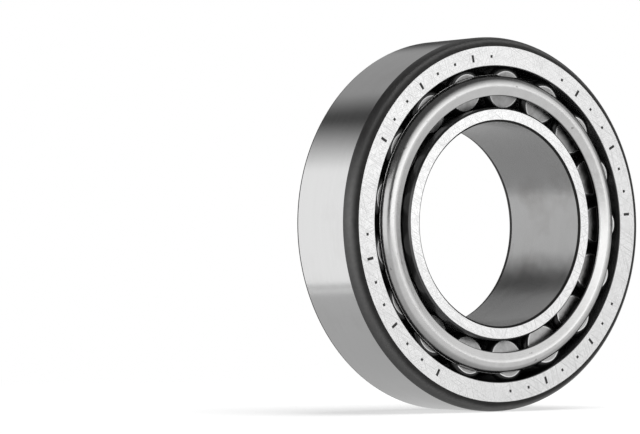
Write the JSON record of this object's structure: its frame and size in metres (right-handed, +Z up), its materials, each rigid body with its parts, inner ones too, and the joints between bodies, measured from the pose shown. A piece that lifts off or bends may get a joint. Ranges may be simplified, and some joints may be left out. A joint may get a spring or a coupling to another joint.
{
  "type": "tapered roller bearing",
  "caption": "Single-row tapered roller bearing: a cup with a tapered raceway, a cone, a pressed steel cage and tapered rollers.",
  "frame": {"origin": "on the bearing axis, midway between the cup back face and the cone back face", "axes": "+Y along the bearing axis from the cup back face to the cone back face, +Z up with the bearing standing on its rim"},
  "size_m": [0.1222, 0.0397, 0.1222],
  "materials": {
    "cup_steel": "ground steel faces and outside, dark scale left on the rounded back corner",
    "cone_steel": "fine ground steel",
    "cage_steel": "satin pressed sheet steel",
    "roller_steel": "honed steel with tumbled ends"
  },
  "bodies": {
    "cup": {"cup": "cup_steel"},
    "cone": {"cone": "cone_steel"},
    "cage": {"cage": "cage_steel"},
    "roller_01": {"roller_01": "roller_steel"},
    "roller_02": {"roller_02": "roller_steel"},
    "roller_03": {"roller_03": "roller_steel"},
    "roller_04": {"roller_04": "roller_steel"},
    "roller_05": {"roller_05": "roller_steel"},
    "roller_06": {"roller_06": "roller_steel"},
    "roller_07": {"roller_07": "roller_steel"},
    "roller_08": {"roller_08": "roller_steel"},
    "roller_09": {"roller_09": "roller_steel"},
    "roller_10": {"roller_10": "roller_steel"},
    "roller_11": {"roller_11": "roller_steel"},
    "roller_12": {"roller_12": "roller_steel"},
    "roller_13": {"roller_13": "roller_steel"},
    "roller_14": {"roller_14": "roller_steel"},
    "roller_15": {"roller_15": "roller_steel"},
    "roller_16": {"roller_16": "roller_steel"},
    "roller_17": {"roller_17": "roller_steel"}
  },
  "joints": [
    {"name": "cone_spin", "type": "hinge", "parent": "cup", "child": "cone", "pos_m": [0, 0, 0], "axis": [0, 1, 0], "continuous": true},
    {"name": "cage_spin", "type": "hinge", "parent": "cup", "child": "cage", "pos_m": [0, 0, 0], "axis": [0, 1, 0], "continuous": true},
    {"name": "roller_01_spin", "type": "hinge", "parent": "cage", "child": "roller_01", "pos_m": [0.00382, -0.00403, 0.04645], "axis": [0.0155, 0.982, 0.1885], "continuous": true},
    {"name": "roller_02_spin", "type": "hinge", "parent": "cage", "child": "roller_02", "pos_m": [-0.01322, -0.00403, 0.04469], "axis": [-0.0536, 0.982, 0.1813], "continuous": true},
    {"name": "roller_03_spin", "type": "hinge", "parent": "cage", "child": "roller_03", "pos_m": [-0.02847, -0.00403, 0.0369], "axis": [-0.1155, 0.982, 0.1497], "continuous": true},
    {"name": "roller_04_spin", "type": "hinge", "parent": "cage", "child": "roller_04", "pos_m": [-0.03988, -0.00403, 0.02412], "axis": [-0.1618, 0.982, 0.0979], "continuous": true},
    {"name": "roller_05_spin", "type": "hinge", "parent": "cage", "child": "roller_05", "pos_m": [-0.0459, -0.00403, 0.00809], "axis": [-0.1862, 0.982, 0.0328], "continuous": true},
    {"name": "roller_06_spin", "type": "hinge", "parent": "cage", "child": "roller_06", "pos_m": [-0.04572, -0.00403, -0.00904], "axis": [-0.1855, 0.982, -0.0367], "continuous": true},
    {"name": "roller_07_spin", "type": "hinge", "parent": "cage", "child": "roller_07", "pos_m": [-0.03937, -0.00403, -0.02495], "axis": [-0.1597, 0.982, -0.1012], "continuous": true},
    {"name": "roller_08_spin", "type": "hinge", "parent": "cage", "child": "roller_08", "pos_m": [-0.0277, -0.00403, -0.03748], "axis": [-0.1124, 0.982, -0.1521], "continuous": true},
    {"name": "roller_09_spin", "type": "hinge", "parent": "cage", "child": "roller_09", "pos_m": [-0.01229, -0.00403, -0.04496], "axis": [-0.0499, 0.982, -0.1824], "continuous": true},
    {"name": "roller_10_spin", "type": "hinge", "parent": "cage", "child": "roller_10", "pos_m": [0.00478, -0.00403, -0.04636], "axis": [0.0194, 0.982, -0.1881], "continuous": true},
    {"name": "roller_11_spin", "type": "hinge", "parent": "cage", "child": "roller_11", "pos_m": [0.02121, -0.00403, -0.0415], "axis": [0.086, 0.982, -0.1684], "continuous": true},
    {"name": "roller_12_spin", "type": "hinge", "parent": "cage", "child": "roller_12", "pos_m": [0.03477, -0.00403, -0.03104], "axis": [0.1411, 0.982, -0.1259], "continuous": true},
    {"name": "roller_13_spin", "type": "hinge", "parent": "cage", "child": "roller_13", "pos_m": [0.04363, -0.00403, -0.01639], "axis": [0.177, 0.982, -0.0665], "continuous": true},
    {"name": "roller_14_spin", "type": "hinge", "parent": "cage", "child": "roller_14", "pos_m": [0.0466, -0.00403, 0.00048], "axis": [0.1891, 0.982, 0.002], "continuous": true},
    {"name": "roller_15_spin", "type": "hinge", "parent": "cage", "child": "roller_15", "pos_m": [0.04328, -0.00403, 0.01729], "axis": [0.1756, 0.982, 0.0701], "continuous": true},
    {"name": "roller_16_spin", "type": "hinge", "parent": "cage", "child": "roller_16", "pos_m": [0.03412, -0.00403, 0.03175], "axis": [0.1384, 0.982, 0.1288], "continuous": true},
    {"name": "roller_17_spin", "type": "hinge", "parent": "cage", "child": "roller_17", "pos_m": [0.02034, -0.00403, 0.04193], "axis": [0.0825, 0.982, 0.1701], "continuous": true}
  ],
  "couplings": [
    {"joint": "cage_spin", "follows": "cone_spin", "ratio": 0.41523},
    {"joint": "roller_01_spin", "follows": "cone_spin", "ratio": -2.8126},
    {"joint": "roller_02_spin", "follows": "cone_spin", "ratio": -2.8126},
    {"joint": "roller_03_spin", "follows": "cone_spin", "ratio": -2.8126},
    {"joint": "roller_04_spin", "follows": "cone_spin", "ratio": -2.8126},
    {"joint": "roller_05_spin", "follows": "cone_spin", "ratio": -2.8126},
    {"joint": "roller_06_spin", "follows": "cone_spin", "ratio": -2.8126},
    {"joint": "roller_07_spin", "follows": "cone_spin", "ratio": -2.8126},
    {"joint": "roller_08_spin", "follows": "cone_spin", "ratio": -2.8126},
    {"joint": "roller_09_spin", "follows": "cone_spin", "ratio": -2.8126},
    {"joint": "roller_10_spin", "follows": "cone_spin", "ratio": -2.8126},
    {"joint": "roller_11_spin", "follows": "cone_spin", "ratio": -2.8126},
    {"joint": "roller_12_spin", "follows": "cone_spin", "ratio": -2.8126},
    {"joint": "roller_13_spin", "follows": "cone_spin", "ratio": -2.8126},
    {"joint": "roller_14_spin", "follows": "cone_spin", "ratio": -2.8126},
    {"joint": "roller_15_spin", "follows": "cone_spin", "ratio": -2.8126},
    {"joint": "roller_16_spin", "follows": "cone_spin", "ratio": -2.8126},
    {"joint": "roller_17_spin", "follows": "cone_spin", "ratio": -2.8126}
  ]
}
